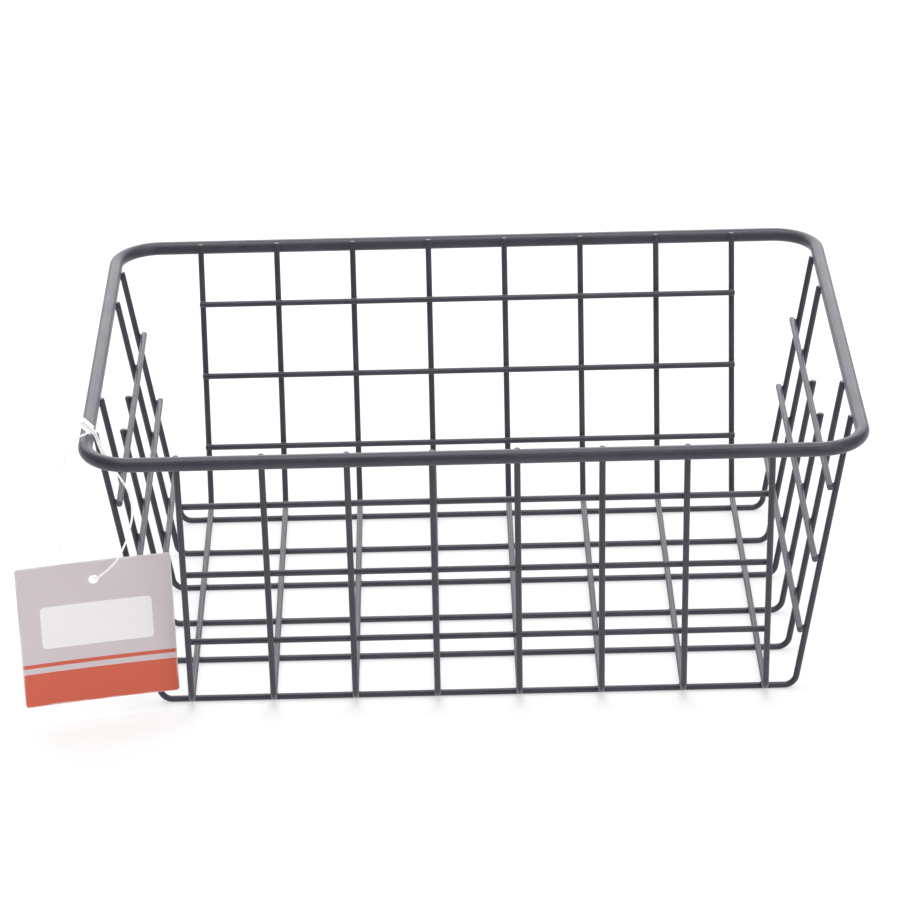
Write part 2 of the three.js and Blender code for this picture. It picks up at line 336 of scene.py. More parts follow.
class TagSettings(PropertyGroup):
    """Card, loop and lock of the swing tag."""

    width: FloatProperty(
        name="Card width",
        description="Width of the card",
        default=0.049,
        unit="LENGTH",
    )
    height: FloatProperty(
        name="Card height",
        description="Height of the card",
        default=0.049,
        unit="LENGTH",
    )
    thickness: FloatProperty(
        name="Card thickness",
        description="Thickness of the card",
        default=0.0005,
        unit="LENGTH",
    )
    corner: FloatProperty(
        name="Card corner",
        description="Radius of the card's corners",
        default=0.001,
        unit="LENGTH",
    )
    hole: FloatProperty(
        name="Hole",
        description="Diameter of the punched hole",
        default=0.0032,
        unit="LENGTH",
    )
    hole_drop: FloatProperty(
        name="Hole drop",
        description="From the card's top edge down to the hole's centre",
        default=0.0065,
        unit="LENGTH",
    )
    curl: FloatProperty(
        name="Curl",
        description="How far the card's side edges curl to the front",
        default=0.0005,
        unit="LENGTH",
    )
    turn: FloatProperty(
        name="Turn",
        description="Turn of the hanging card about the upright axis",
        default=math.radians(10.5),
        unit="ROTATION",
    )
    tilt: FloatProperty(
        name="Tilt",
        description="Tilt of the hanging card in its own plane",
        default=math.radians(0.7),
        unit="ROTATION",
    )
    hole_offset: FloatVectorProperty(
        name="Hole place",
        description="Hole's centre, from the rim's axis where the loop hangs",
        default=(-0.0002, -0.0035, -0.046),
        subtype="XYZ",
        unit="LENGTH",
    )
    ground_colour: FloatVectorProperty(
        name="Ground colour",
        description="Printed ground of the card's front",
        default=(0.635, 0.56, 0.59),
        subtype="COLOR",
    )
    band_colour: FloatVectorProperty(
        name="Band colour",
        description="Printed coral bands of the card's front",
        default=(0.65, 0.114, 0.06),
        subtype="COLOR",
    )
    paper_colour: FloatVectorProperty(
        name="Paper colour",
        description="White coat of the card's front, bare in the panel and at scuffed edges",
        default=(0.90, 0.885, 0.88),
        subtype="COLOR",
    )
    board_colour: FloatVectorProperty(
        name="Board colour",
        description="Grey board of the card's back and cut edges",
        default=(0.52, 0.50, 0.485),
        subtype="COLOR",
    )
    cord: FloatProperty(
        name="Loop thickness",
        description="Diameter of the nylon loop",
        default=0.00065,
        unit="LENGTH",
    )
    neck: FloatProperty(
        name="Neck thickness",
        description="Diameter of the loop's stiff neck at the lock's socket",
        default=0.0012,
        unit="LENGTH",
    )
    neck_points: IntProperty(
        name="Neck points",
        description="Points of the loop's route that lie in its neck",
        default=5,
    )
    loop_length: FloatProperty(
        name="Loop length",
        description="Length of the nylon loop from end to end",
        default=0.12,
        unit="LENGTH",
    )
    nylon_colour: FloatVectorProperty(
        name="Nylon colour",
        description="Milky nylon of the loop and its lock",
        default=(0.95, 0.95, 0.96),
        subtype="COLOR",
    )
    lock_head: FloatVectorProperty(
        name="Lock head",
        description="Length, width and thickness of the lock's head",
        default=(0.0046, 0.0029, 0.0022),
        subtype="XYZ",
        unit="LENGTH",
    )
    lock_socket: FloatVectorProperty(
        name="Lock socket",
        description="Length, width and thickness of the socket at the head's lower end",
        default=(0.0014, 0.0013, 0.0013),
        subtype="XYZ",
        unit="LENGTH",
    )
    lock_round: FloatProperty(
        name="Lock rounding",
        description="Rounding of the lock's moulded edges",
        default=0.0003,
        unit="LENGTH",
    )
    socket_drop: FloatProperty(
        name="Socket drop",
        description="How far the socket lies below the head's middle",
        default=0.0001,
        unit="LENGTH",
    )
    lock_turn: FloatProperty(
        name="Lock turn",
        description="Slope of the lock where it lies on the rim",
        default=math.radians(45),
        unit="ROTATION",
    )
    lock_slide: FloatProperty(
        name="Lock slide",
        description="How far the head's middle sits up from where the lock touches the rim",
        default=0.0033,
        unit="LENGTH",
    )
    lock_setback: FloatProperty(
        name="Lock setback",
        description="How far the lock lies behind the loop's plane",
        default=0.0011,
        unit="LENGTH",
    )
    lock_entry: FloatProperty(
        name="Lock entry",
        description="Where the loop enters the head's front, from its middle",
        default=0.0013,
        unit="LENGTH",
    )
    lock_gap: FloatProperty(
        name="Lock gap",
        description="Clearance of the lock from the rim, and of the loop in the hole",
        default=0.0003,
        unit="LENGTH",
    )


class StageSettings(PropertyGroup):
    """Floor, light and camera."""

    floor_colour: FloatVectorProperty(
        name="Floor colour",
        description="Pale studio floor",
        default=(0.94, 0.94, 0.94),
        subtype="COLOR",
    )
    floor_radius: FloatProperty(
        name="Floor radius",
        description="Radius of the round floor, which ends where it is still lit to white",
        default=1.0,
        unit="LENGTH",
    )
    floor_glow: FloatProperty(
        name="Floor whiteness",
        description="Share of plain white in the floor as it is seen",
        default=0.5,
        subtype="FACTOR",
    )
    ambient: FloatProperty(
        name="Ambient light",
        description="Strength of the light from all sides",
        default=0.38,
    )
    top_power: FloatProperty(
        name="Top light",
        description="Power of the soft light overhead",
        default=15.0,
        unit="POWER",
    )
    back_power: FloatProperty(
        name="Back light",
        description="Power of the large soft light behind",
        default=38.0,
        unit="POWER",
    )
    front_power: FloatProperty(
        name="Front light",
        description="Power of the soft light in front",
        default=9.0,
        unit="POWER",
    )
    camera_place: FloatVectorProperty(
        name="Camera place",
        description="Where the camera stands",
        default=(-0.009288, -1.168198, 0.608652),
        subtype="XYZ",
        unit="LENGTH",
    )
    camera_yaw: FloatProperty(
        name="Camera yaw",
        description="Turn of the view to the left",
        default=math.radians(-0.098),
        unit="ROTATION",
    )
    camera_pitch: FloatProperty(
        name="Camera pitch",
        description="Tilt of the view down",
        default=math.radians(25.303),
        unit="ROTATION",
    )
    camera_roll: FloatProperty(
        name="Camera roll",
        description="Roll of the camera about its view",
        default=math.radians(-1.285),
        unit="ROTATION",
    )
    camera_lens: FloatProperty(
        name="Camera lens",
        description="Focal length for a sensor 36 mm wide",
        default=157.057,
        unit="CAMERA",
    )


class Value:
    """A number that a shader works out: arithmetic on it adds Math nodes."""

    def __init__(self, graph, socket):
        self.graph = graph
        self.socket = socket

    def __getitem__(self, output):
        return Value(self.graph, self.socket.node.outputs[output])

    def math(self, operation, first, second=0.0, clamp=False):
        settings = {"operation": operation, "use_clamp": clamp}
        return self.graph.node("ShaderNodeMath", settings, {0: first, 1: second})

    def __add__(self, other):
        return self.math("ADD", self, other)

    def __radd__(self, other):
        return self.math("ADD", other, self)

    def __sub__(self, other):
        return self.math("SUBTRACT", self, other)

    def __rsub__(self, other):
        return self.math("SUBTRACT", other, self)

    def __mul__(self, other):
        return self.math("MULTIPLY", self, other)

    def __rmul__(self, other):
        return self.math("MULTIPLY", other, self)

    def __truediv__(self, other):
        return self.math("DIVIDE", self, other)

    def __lt__(self, other):
        return self.math("LESS_THAN", self, other)

    def __abs__(self):
        return self.math("ABSOLUTE", self)

    def at_least(self, other):
        return self.math("MAXIMUM", self, other)

    def at_most(self, other):
        return self.math("MINIMUM", self, other)

    def root(self):
        return self.math("SQRT", self)

    def clamped(self):
        return self.math("ADD", self, 0.0, clamp=True)


class Graph:
    """The nodes of one material or world."""

    def __init__(self, owner):
        owner.use_nodes = True
        self.tree = owner.node_tree

    def node(self, kind, settings=None, inputs=None, output=0):
        """Adds a node, sets its settings, then the values or links of its sockets."""
        made = self.tree.nodes.new(kind)
        for name, setting in (settings or {}).items():
            setattr(made, name, setting)
        for key, given in (inputs or {}).items():
            self.feed(made.inputs[key], given)
        return Value(self, made.outputs[output])

    def feed(self, socket, given):
        """Links a value to a socket, or sets the socket's own number or colour."""
        if isinstance(given, Value):
            self.tree.links.new(given.socket, socket)
        else:
            socket.default_value = given

    def noise(self, place, size, detail=2.0, roughness=0.5):
        """Soft noise with features of about that size in metres."""
        inputs = {"Vector": place, "Scale": 1 / size, "Detail": detail, "Roughness": roughness}
        return self.node("ShaderNodeTexNoise", inputs=inputs)

    def mix(self, share, first, second):
        """A colour between two colours."""
        return self.node("ShaderNodeMix", {"data_type": "RGBA"}, {0: share, 6: first, 7: second}, 2)

    def bump(self, height, distance, strength=1.0):
        """A normal that follows a height, in metres."""
        inputs = {"Height": height, "Distance": distance, "Strength": strength}
        return self.node("ShaderNodeBump", inputs=inputs)

    def surface(self, inputs):
        """Sets the sockets of the material's own shader."""
        shader = self.tree.nodes["Principled BSDF"]
        for name, given in inputs.items():
            self.feed(shader.inputs[name], given)


def opaque(colour):
    """A colour with its alpha."""
    return (*colour, 1.0)


def material_named(name, make):
    """The material of that name, made on its first use."""
    found = bpy.data.materials.get(name)
    if found is None:
        found = bpy.data.materials.new(name)
        make(Graph(found))
    return found


def above(noise, start, gain):
    """0 where a noise is under its start, and rising to 1 over it."""
    return ((noise - start) * gain).clamped()


def coat_finish(graph):
    """Satin charcoal powder coat: fine orange peel, cloudy thickness, and pale cut ends, where steel shows
    through the thin coat and a painted highlight lies on their flat tops.
    """
    coat = bpy.context.scene.basket_coat
    place = graph.node("ShaderNodeTexCoord", output="Object")
    grain = graph.noise(place, coat.grain_size, detail=1.0)
    cloud = above(graph.noise(place, COAT_CLOUD, detail=3.0), start=0.36, gain=3.4)
    speck = above(graph.noise(place, COAT_SPECK, detail=0.0), start=0.74, gain=14)
    thin = graph.node("ShaderNodeAttribute", {"attribute_name": CUT_END_MARK}, output="Fac")
    base = graph.mix(cloud, opaque(coat.colour), opaque(coat.thin_colour))
    speckled = graph.mix(speck * SPECK_SHARE, base, SPECK_COLOUR)
    # The cut ends' paler colour is steel through the thin coat plus a painted highlight on their flat tops
    colour = graph.mix(thin, speckled, opaque(coat.tip_steel_and_highlight))
    roughness = coat.roughness + (cloud - 0.5) * 0.08 + (grain - 0.5) * 0.12
    graph.surface({
        "Base Color": colour,
        "Roughness": roughness.clamped(),
        "Specular IOR Level": 0.5,
        "Sheen Weight": 0.2,
        "Sheen Roughness": 0.4,
        "Sheen Tint": SHEEN_TINT,
        "Normal": graph.bump(grain, coat.grain_depth),
    })


def rounded_box(u, v, centre, half, corner):
    """Signed distance from a box with round corners, in the units of u and v."""
    across = abs(u - centre[0]) - (half[0] - corner)
    along = abs(v - centre[1]) - (half[1] - corner)
    outer = (across.at_least(0) * across.at_least(0) + along.at_least(0) * along.at_least(0)).root()
    return outer + across.at_least(along).at_most(0) - corner


def inside(distance, softness):
    """1 inside a signed distance and 0 outside, with a soft edge."""
    return (0.5 - distance / softness).clamped()


def card_finish(graph):
    """Coated board: a lilac-grey ground with coral bands and a blank white panel on the front."""
    tag = bpy.context.scene.basket_tag
    uv = graph.node("ShaderNodeSeparateXYZ", inputs={0: graph.node("ShaderNodeTexCoord", output="UV")})
    u, v = uv["X"], uv["Y"]
    place = graph.node("ShaderNodeTexCoord", output="Object")
    millimetre = 0.001 / tag.width
    ink_edge = 0.1 * millimetre
    front = u < FRONT_LIMIT
    panel = inside(rounded_box(u, v, PANEL_CENTRE, PANEL_HALF, PANEL_CORNER), ink_edge)
    broad, narrow = [inside(abs(v - middle) - half, ink_edge) for middle, half in BANDS]
    fibre = graph.noise(place, CARD_FIBRE, detail=3.0, roughness=0.6)
    cloud = graph.noise(place, CARD_CLOUD)
    border = rounded_box(u, v, (0.5, 0.5), (0.5, 0.5), tag.corner / tag.width)
    scuff = inside(0.0 - border - (cloud - 0.35) * SCUFF_REACH, SCUFF_LIMIT)
    paper = opaque(tag.paper_colour)
    coral = (broad + narrow).clamped()
    ground = graph.mix((fibre - 0.5) * 0.25 + cloud * 0.12, opaque(tag.ground_colour), paper)
    printed = graph.mix(coral, ground, opaque(tag.band_colour))
    bare = (panel + scuff * SCUFF_SHARE).clamped()
    face = graph.mix(bare, printed, paper)
    board = graph.mix((fibre - 0.4) * 0.5, opaque(tag.board_colour), paper)
    graph.surface({
        "Base Color": graph.mix(front, board, face),
        "Roughness": BOARD_ROUGHNESS - front * PRINT_GLOSS + (fibre - 0.5) * 0.2,
        "Specular IOR Level": 0.45,
        "Normal": graph.bump(fibre, distance=0.00002, strength=0.5),
    })


def nylon_finish(graph):
    """Milky nylon: glossy, lit through, a little cloudy inside, with a faint painted glow for the light that
    scatters through it.
    """
    tag = bpy.context.scene.basket_tag
    place = graph.node("ShaderNodeTexCoord", output="Object")
    cloud = graph.noise(place, NYLON_CLOUD, detail=1.0)
    graph.surface({
        "Base Color": graph.mix(cloud, opaque(tag.nylon_colour), CLEAR_NYLON),
        "Roughness": NYLON_ROUGHNESS + cloud * 0.12,
        "IOR": 1.53,
        "Specular IOR Level": 0.3,
        "Transmission Weight": 0.6,
        # A faint glow in the nylon's own colour is painted light: it stands in for light scattered through
        # the milky cord
        "Emission Color": opaque(tag.nylon_colour),
        "Emission Strength": 0.1,
    })


def seen_by_eye(graph):
    """1 for rays that show a surface in the picture, in a reflection or through something clear."""
    path = graph.node("ShaderNodeLightPath", output="Is Camera Ray")
    return (path + path["Is Glossy Ray"] + path["Is Transmission Ray"]).clamped()


def floor_finish(graph):
    """Pale floor, mixed with plain white where it is seen, so that only a soft shadow shows."""
    stage = bpy.context.scene.basket_stage
    diffuse = graph.node("ShaderNodeBsdfDiffuse", inputs={"Color": opaque(stage.floor_colour)})
    white = graph.node("ShaderNodeEmission", inputs={"Color": WHITE, "Strength": 1.0})
    share = seen_by_eye(graph) * stage.floor_glow
    shader = graph.node("ShaderNodeMixShader", inputs={0: share, 1: diffuse, 2: white})
    graph.feed(graph.tree.nodes["Material Output"].inputs["Surface"], shader)


COAT = ("wire_coat_satin", coat_finish)
CARD = ("tag_card_print", card_finish)
NYLON = ("tag_nylon_milky", nylon_finish)
FLOOR = ("studio_floor", floor_finish)


def add_mesh(name, shape, finish):
    """A new object at the origin from a bmesh, with its finish."""
    mesh = bpy.data.meshes.new(name)
    shape.to_mesh(mesh)
    shape.free()
    return add_object(name, mesh, finish)


def add_object(name, data, finish):
    """A new object at the origin from a mesh or a curve, with its finish."""
    made = bpy.data.objects.new(name, data)
    bpy.context.scene.collection.objects.link(made)
    data.materials.append(material_named(*finish))
    return made


def shade_smooth(shape):
    """Shades every face smooth."""
    for face in shape.faces:
        face.smooth = True


def close_shape(shape, touching=TOUCHING):
    """Merges doubles, turns the faces out and shades them smooth."""
    bmesh.ops.remove_doubles(shape, verts=shape.verts, dist=touching)
    bmesh.ops.recalc_face_normals(shape, faces=shape.faces)
    shade_smooth(shape)


def soften(shape, geom, offset, segments, affect="EDGES"):
    """Rounds sharp edges, or the corners of an outline."""
    bmesh.ops.bevel(
        shape,
        geom=geom,
        offset=offset,
        offset_type="OFFSET",
        segments=segments,
        profile=0.5,
        affect=affect,
        material=-1,
    )


def verts_in(items):
    """The vertices among the parts that an operator made."""
    return [item for item in items if isinstance(item, bmesh.types.BMVert)]


def ring_of(verts):
    """The edges that join these vertices to each other."""
    members = set(verts)
    return list({edge for vert in verts for edge in vert.link_edges if edge.other_vert(vert) in members})


class WireBender:
    """Draws one round wire: its last ring of edges is pushed straight on or spun round a bend."""

    def __init__(self, shape, radius, sides, start, heading):
        self.shape = shape
        self.thin = shape.faces.layers.float.new(CUT_END_MARK)
        self.point = start.copy()
        self.heading = heading.normalized()
        place = Matrix.Translation(start) @ self.heading.to_track_quat("Z", "Y").to_matrix().to_4x4()
        ring = bmesh.ops.create_circle(shape, radius=radius, segments=sides, matrix=place)
        self.first = ring_of(ring["verts"])
        self.ring = self.first

    def straight(self, distance):
        """Draws the wire straight on."""
        verts = verts_in(bmesh.ops.extrude_edge_only(self.shape, edges=self.ring)["geom"])
        bmesh.ops.translate(self.shape, verts=verts, vec=self.heading * distance)
        self.ring = ring_of(verts)
        self.point += self.heading * distance

    def bend_to(self, heading, radius, steps):
        """Draws the wire round a bend to a new heading."""
        axis, angle = self.heading.rotation_difference(heading).to_axis_angle()
        centre = self.point + axis.cross(self.heading) * radius
        spun = bmesh.ops.spin(
            self.shape, geom=self.ring, cent=centre, axis=axis, angle=angle, steps=steps
        )["geom_last"]
        self.ring = ring_of(verts_in(spun))
        turn = Matrix.Rotation(angle, 3, axis)
        self.point = centre + turn @ (self.point - centre)
        self.heading = heading.normalized()

    def round_tips(self, rounding):
        """Closes both ends with a flat whose rim is rounded."""
        fills = [bmesh.ops.edgeloop_fill(self.shape, edges=ring) for ring in (self.first, self.ring)]
        caps = [fill["faces"][0] for fill in fills]
        for cap in caps:
            # Marks the caps for their paler colour, which is partly steel through the thin coat and partly a
            # painted highlight
            cap[self.thin] = 1
        soften(self.shape, [edge for cap in caps for edge in cap.edges], rounding, TIP_STEPS)


class Wall:
    """The line of a wall's uprights, seen along the wall: from its floor corner up to the rim."""

    def __init__(self, floor_edge, floor_z, rim_edge):
        out = rim_edge - floor_edge
        up = RIM_Z - floor_z
        seat = RIM_RADIUS + WIRE_RADIUS - bpy.context.scene.basket_wires.rim_set
        self.floor_edge = floor_edge
        self.floor_z = floor_z
        self.slope = math.atan2(out, up) - math.asin(seat / math.hypot(out, up))

    def at(self, height):
        """How far out an upright's axis is at a height."""
        return self.floor_edge + (height - self.floor_z) * math.tan(self.slope)

    def tip_of(self, node):
        """Height of the middle of an upright's cut end."""
        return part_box(node)[1].z - WIRE_RADIUS * math.sin(self.slope)

    def through(self, along):
        """Direction out through the wall, square to its uprights."""
        return along * math.cos(self.slope) - Z * math.sin(self.slope)


def side_wall():
    """The front and back walls, whose uprights are cross wires."""
    return Wall(bpy.context.scene.basket_wires.floor_width / 2, CROSS_Z, RIM_Y)


def end_wall():
    """The left and right ends, whose uprights are long wires."""
    return Wall(bpy.context.scene.basket_wires.floor_length / 2, LONG_Z, RIM_X)


def middle_of(node):
    """Middle of the box of one of the frame's wires."""
    low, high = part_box(node)
    return (low + high) / 2


def u_wire(wall, along, place, first_z, last_z):
    """A wire bent down one wall, along the floor and up the opposite wall, between two tip heights."""
    wires = bpy.context.scene.basket_wires
    tip = place - along * wall.at(first_z) + Z * first_z
    corner = place - along * wall.floor_edge + Z * wall.floor_z
    down = corner - tip
    rise = Vector((down.x, down.y, -down.z))
    taken = wires.bend_radius * math.tan(down.angle(along) / 2)
    last_leg = (last_z - wall.floor_z) / math.cos(wall.slope)
    shape = bmesh.new()
    wire = WireBender(shape, WIRE_RADIUS, wires.wire_sides, tip, down)
    wire.straight(down.length - taken)
    wire.bend_to(along, wires.bend_radius, wires.bend_steps)
    wire.straight(2 * (wall.floor_edge - taken))
    wire.bend_to(rise, wires.bend_radius, wires.bend_steps)
    wire.straight(last_leg - taken)
    wire.round_tips(wires.tip_round)
    close_shape(shape)
    return shape


def coated(node, shape):
    """A coated wire that stands for one of the frame's wires."""
    wire = add_mesh(f"coated_{node}", shape, COAT)
    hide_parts(node)
    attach(wire, "basket")


class BASKET_OT_rim_wire(Operator):
    """Bend the heavy rim wire into its closed loop"""

    bl_idname = "basket.rim_wire"
    bl_label = "Rim wire"

    def execute(self, context):
        wires = context.scene.basket_wires
        corner = wires.rim_corner
        shape = bmesh.new()
        start = Vector((RIM_X, 0, RIM_Z))
        wire = WireBender(shape, RIM_RADIUS, wires.rim_sides, start, Y)
        runs = (
            (RIM_Y, -X),
            (2 * RIM_X - corner, -Y),
            (2 * RIM_Y - corner, X),
            (2 * RIM_X - corner, Y),
        )
        for run, heading in runs:
            wire.straight(run - corner)
            wire.bend_to(heading, corner, wires.bend_steps)
        wire.straight(RIM_Y - corner)
        close_shape(shape, RIM_TOUCHING)
        coated("rim_wire", shape)
        return {"FINISHED"}


class BASKET_OT_cross_wires(Operator):
    """Bend the U-wires that run down the front wall, under the floor and up the back wall"""

    bl_idname = "basket.cross_wires"
    bl_label = "Cross wires"

    def execute(self, context):
        wall = side_wall()
        lower = context.scene.basket_wires.front_drop
        for node in CROSS_WIRES:
            back_z = wall.tip_of(node)
            coated(node, u_wire(wall, Y, X * middle_of(node).x, back_z - lower, back_z))
        return {"FINISHED"}


class BASKET_OT_long_wires(Operator):
    """Bend the U-wires that run down the left end, under the floor and up the right end"""

    bl_idname = "basket.long_wires"
    bl_label = "Long wires"

    def execute(self, context):
        wall = end_wall()
        for node in LONG_WIRES:
            tip_z = wall.tip_of(node)
            coated(node, u_wire(wall, X, Y * middle_of(node).y, tip_z, tip_z))
        return {"FINISHED"}


class BASKET_OT_wall_rails(Operator):
    """Cut the straight rails that lie inside the four walls"""

    bl_idname = "basket.wall_rails"
    bl_label = "Wall rails"

    def execute(self, context):
        wires = context.scene.basket_wires
        for node in RAILS:
            low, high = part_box(node)
            along = X if high.x - low.x > high.y - low.y else Y
            half = along * ((high - low).dot(along) / 2)
            shape = bmesh.new()
            wire = WireBender(shape, WIRE_RADIUS, wires.wire_sides, middle_of(node) - half, along)
            wire.straight(2 * half.length)
            wire.round_tips(wires.tip_round)
            close_shape(shape)
            coated(node, shape)
        return {"FINISHED"}


class BASKET_OT_welds(Operator):
    """Set a small weld bead between each two wires that cross"""

    bl_idname = "basket.welds"
    bl_label = "Welds"

    def execute(self, context):
        wires = context.scene.basket_wires
        crossing = (wires.weld_radius, wires.weld_radius, wires.weld_depth)
        seat = (wires.seat_width, wires.seat_height, wires.weld_depth)
        self.beads("floor", self.floor_crossings(), crossing)
        self.beads("rim", self.rim_seats(), seat)
        for name, along in (("front", -Y), ("back", Y), ("left", -X), ("right", X)):
            self.beads(f"{name}_wall", self.rail_crossings(name, along), crossing)
        return {"FINISHED"}

    def beads(self, name, places, size):
        """Flattened beads in the gaps between wires, each a little different, as one piece."""
        shape = bmesh.new()
        draw = random.Random(name)
        for point, through in places:
            spread = Matrix.Diagonal([side * draw.uniform(*BEAD_SIZES) for side in size]).to_4x4()
            turn = through.to_track_quat("Z", "Y").to_matrix().to_4x4()
            place = Matrix.Translation(point) @ turn @ spread
            bmesh.ops.create_icosphere(shape, subdivisions=2, radius=1, matrix=place)
        shade_smooth(shape)
        piece = add_mesh(f"{name}_welds", shape, COAT)
        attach(piece, "basket")

    def floor_crossings(self):
        """Places on the floor between the cross wires and the long wires under them."""
        height = (CROSS_Z + LONG_Z) / 2
        xs = [middle_of(node).x for node in CROSS_WIRES]
        ys = [middle_of(node).y for node in LONG_WIRES]
        return [(Vector((x, y, height)), Z) for x in xs for y in ys]

    def rail_crossings(self, name, along):
        """Places between a wall's rails and the uprights that they lie against."""
        on_side = name in ("front", "back")
        wall = side_wall() if on_side else end_wall()
        uprights = CROSS_WIRES if on_side else LONG_WIRES
        across = Vector((abs(along.y), abs(along.x), 0))
        through = wall.through(along)
        places = []
        for rail in (node for node in RAILS if node.startswith(name)):
            centre = middle_of(rail) + through * (CROSSING / 2)
            places += [(centre + across * middle_of(node).dot(across), through) for node in uprights]
        return places

    def rim_seats(self):
        """Places where the full-height uprights lie against the inside of the rim."""
        places = []
        drop = bpy.context.scene.basket_wires.seat_drop
        sides = ((CROSS_WIRES, side_wall(), Y, RIM_Y), (LONG_WIRES, end_wall(), X, RIM_X))
        for nodes, wall, axis, rim in sides:
            across = Vector((axis.y, axis.x, 0))
            for node in (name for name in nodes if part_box(name)[1].z > RIM_Z):
                for along in (axis, -axis):
                    through = wall.through(along)
                    point = along * rim + Z * (RIM_Z - drop) + across * middle_of(node).dot(across)
                    places.append((point - through * (RIM_RADIUS - WELD_GAP), through))
        return places


def card_place(tag):
    """Where the card hangs: its hole at the origin, its width along X and its front to -Y."""
    turn = Matrix.Rotation(tag.turn, 4, "Z") @ Matrix.Rotation(-tag.tilt, 4, "Y")
    return Matrix.Translation(HANG + Vector(tag.hole_offset)) @ turn @ Matrix.Rotation(math.pi / 2, 4, "X")


class BASKET_OT_swing_tag(Operator):
    """Cut the card of the swing tag, with its punched hole and a slight curl"""

    bl_idname = "basket.swing_tag"
    bl_label = "Swing tag"

    def execute(self, context):
        tag = context.scene.basket_tag
        shape = bmesh.new()
        self.outline(shape, tag)
        self.curl(shape, tag)
        self.thicken(shape, tag)
        self.map_print(shape, tag)
        shape.transform(card_place(tag))
        card = add_mesh("printed_card", shape, CARD)
        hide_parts("swing_tag")
        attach(card, "tag")
        return {"FINISHED"}

    def outline(self, shape, tag):
        """A square with round corners and the hole, filled flat."""
        bmesh.ops.create_grid(shape, x_segments=1, y_segments=1, size=0.5)
        bmesh.ops.scale(shape, verts=shape.verts, vec=(tag.width, tag.height, 1))
        bmesh.ops.translate(shape, verts=shape.verts, vec=(0, tag.hole_drop - tag.height / 2, 0))
        soften(shape, shape.verts[:], tag.corner, CARD_CORNER_STEPS, affect="VERTICES")
        bmesh.ops.delete(shape, geom=shape.faces[:], context="FACES_ONLY")
        bmesh.ops.create_circle(shape, radius=tag.hole / 2, segments=HOLE_SIDES)
        bmesh.ops.triangle_fill(shape, edges=shape.edges[:], use_beauty=True)

    def curl(self, shape, tag):
        """Cuts the face into strips and bends its side edges to the front."""
        for i in range(1, CARD_STRIPS):
            cut = Vector((tag.width * (i / CARD_STRIPS - 0.5), 0, 0))
            everything = shape.verts[:] + shape.edges[:] + shape.faces[:]
            bmesh.ops.bisect_plane(shape, geom=everything, dist=TOUCHING, plane_co=cut, plane_no=X)
        for vert in shape.verts:
            vert.co.z += tag.curl * (2 * vert.co.x / tag.width) ** 2

    def thicken(self, shape, tag):
        """Gives the sheet its thickness and takes the sharpness off its cut edges."""
        grown = bmesh.ops.extrude_face_region(shape, geom=shape.faces[:], use_keep_orig=True)["geom"]
        bmesh.ops.translate(shape, verts=verts_in(grown), vec=Z * tag.thickness)
        bmesh.ops.translate(shape, verts=shape.verts, vec=Z * (-tag.thickness / 2))
        bmesh.ops.recalc_face_normals(shape, faces=shape.faces)
        sharp = [edge for edge in shape.edges if edge.calc_face_angle(0) > SHARP]
        soften(shape, sharp, tag.thickness * CARD_EDGE_SHARE, CARD_EDGE_STEPS)

    def map_print(self, shape, tag):
        """Lays the print's map on the front, and the back and edges beyond it. The flat sides are smooth."""
        layer = shape.loops.layers.uv.new("print")
        low = tag.hole_drop - tag.height
        shape.normal_update()
        for face in shape.faces:
            face.smooth = abs(face.normal.z) > 0.9
            shift = 0 if face.normal.z > 0.5 else BACK_SHIFT
            for loop in face.loops:
                spot = loop.vert.co
                loop[layer].uv = (spot.x / tag.width + 0.5 + shift, (spot.y - low) / tag.height)


def lock_axis(tag):
    """Direction of the lock's length, down the rim's inner side."""
    return Vector((math.cos(tag.lock_turn), 0, -math.sin(tag.lock_turn)))


def lock_away(tag):
    """Direction from the rim's axis to the lock."""
    return Vector((math.sin(tag.lock_turn), 0, math.cos(tag.lock_turn)))


def lock_centre(tag):
    """Middle of the lock's head, from the rim's axis where the loop hangs."""
    away = RIM_RADIUS + tag.lock_gap + tag.lock_head[2] / 2
    return Y * tag.lock_setback + lock_away(tag) * away - lock_axis(tag) * tag.lock_slide


class BASKET_OT_loop_lock(Operator):
    """Mould the small lock that holds the loop's two ends"""

    bl_idname = "basket.loop_lock"
    bl_label = "Loop lock"

    def execute(self, context):
        tag = context.scene.basket_tag
        shape = bmesh.new()
        bmesh.ops.create_cube(shape, size=1)
        bmesh.ops.scale(shape, verts=shape.verts, vec=tag.lock_head)
        self.socket(shape, tag)
        shape.normal_update()
        sharp = [edge for edge in shape.edges if edge.is_convex and edge.calc_face_angle(0) > SHARP]
        soften(shape, sharp, tag.lock_round, LOCK_STEPS)
        close_shape(shape)
        turn = Matrix.Rotation(tag.lock_turn, 4, "Y")
        shape.transform(Matrix.Translation(HANG + lock_centre(tag)) @ turn)
        lock = add_mesh("moulded_lock", shape, NYLON)
        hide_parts("tag_loop_lock")
        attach(lock, "tag")
        return {"FINISHED"}

    def socket(self, shape, tag):
        """Draws the slim socket out of the head's lower end."""
        length, width, thickness = tag.lock_socket
        end = max(shape.faces, key=lambda face: face.calc_center_median().x)
        root = bmesh.ops.extrude_discrete_faces(shape, faces=[end])["faces"][0]
        size = (1, width / tag.lock_head[1], thickness / tag.lock_head[2])
        bmesh.ops.scale(shape, verts=root.verts[:], vec=size)
        bmesh.ops.translate(shape, verts=root.verts[:], vec=-Z * tag.socket_drop)
        mouth = bmesh.ops.extrude_discrete_faces(shape, faces=[root])["faces"][0]
        bmesh.ops.translate(shape, verts=mouth.verts[:], vec=X * length)


